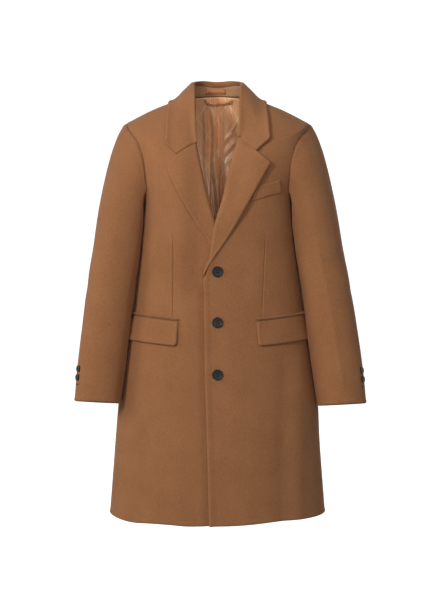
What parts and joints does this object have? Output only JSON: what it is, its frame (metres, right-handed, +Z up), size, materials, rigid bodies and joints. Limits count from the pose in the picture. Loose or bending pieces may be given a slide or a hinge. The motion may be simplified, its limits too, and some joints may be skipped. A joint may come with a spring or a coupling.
{
  "type": "wool overcoat",
  "caption": "Single-breasted wool overcoat to the knee with notch lapels, flap pockets and buttoned cuffs, filled out with nobody in it, camel brown with a satin back lining.",
  "frame": {"origin": "the point between the shoulders at the height of the neck seam's sides, where the wearer carries the coat", "axes": "+Z up towards the collar, +X towards the wearer's left sleeve, -Y out of the buttoned front"},
  "size_m": [0.6512, 0.2829, 1.0111],
  "materials": {
    "wool": "brushed camel brown wool cloth",
    "collar_wool": "the same brushed wool on the collar and lapels",
    "lining": "light brown satin with a woven diamond lattice",
    "label": "blank woven tape",
    "button": "polished near-black horn-like plastic"
  },
  "bodies": {
    "root": {"front_left": "wool", "side_left": "wool", "back_left": "wool", "sleeve_top_left": "wool", "sleeve_under_left": "wool", "pocket_flap_left": "wool", "pocket_jet_left": "wool", "front_right": "wool", "side_right": "wool", "back_right": "wool", "sleeve_top_right": "wool", "sleeve_under_right": "wool", "pocket_flap_right": "wool", "pocket_jet_right": "wool", "chest_welt": "wool", "lapel_left": "collar_wool", "lapel_right": "collar_wool", "collar_fall": "collar_wool", "collar_stand": "collar_wool", "lining_back": "lining", "hanger_loop": "lining", "neck_label": "label", "cuff_button_left_1": "button", "cuff_button_left_2": "button", "cuff_button_right_1": "button", "cuff_button_right_2": "button", "front_button_1": "button", "front_button_2": "button", "front_button_3": "button"}
  },
  "joints": []
}
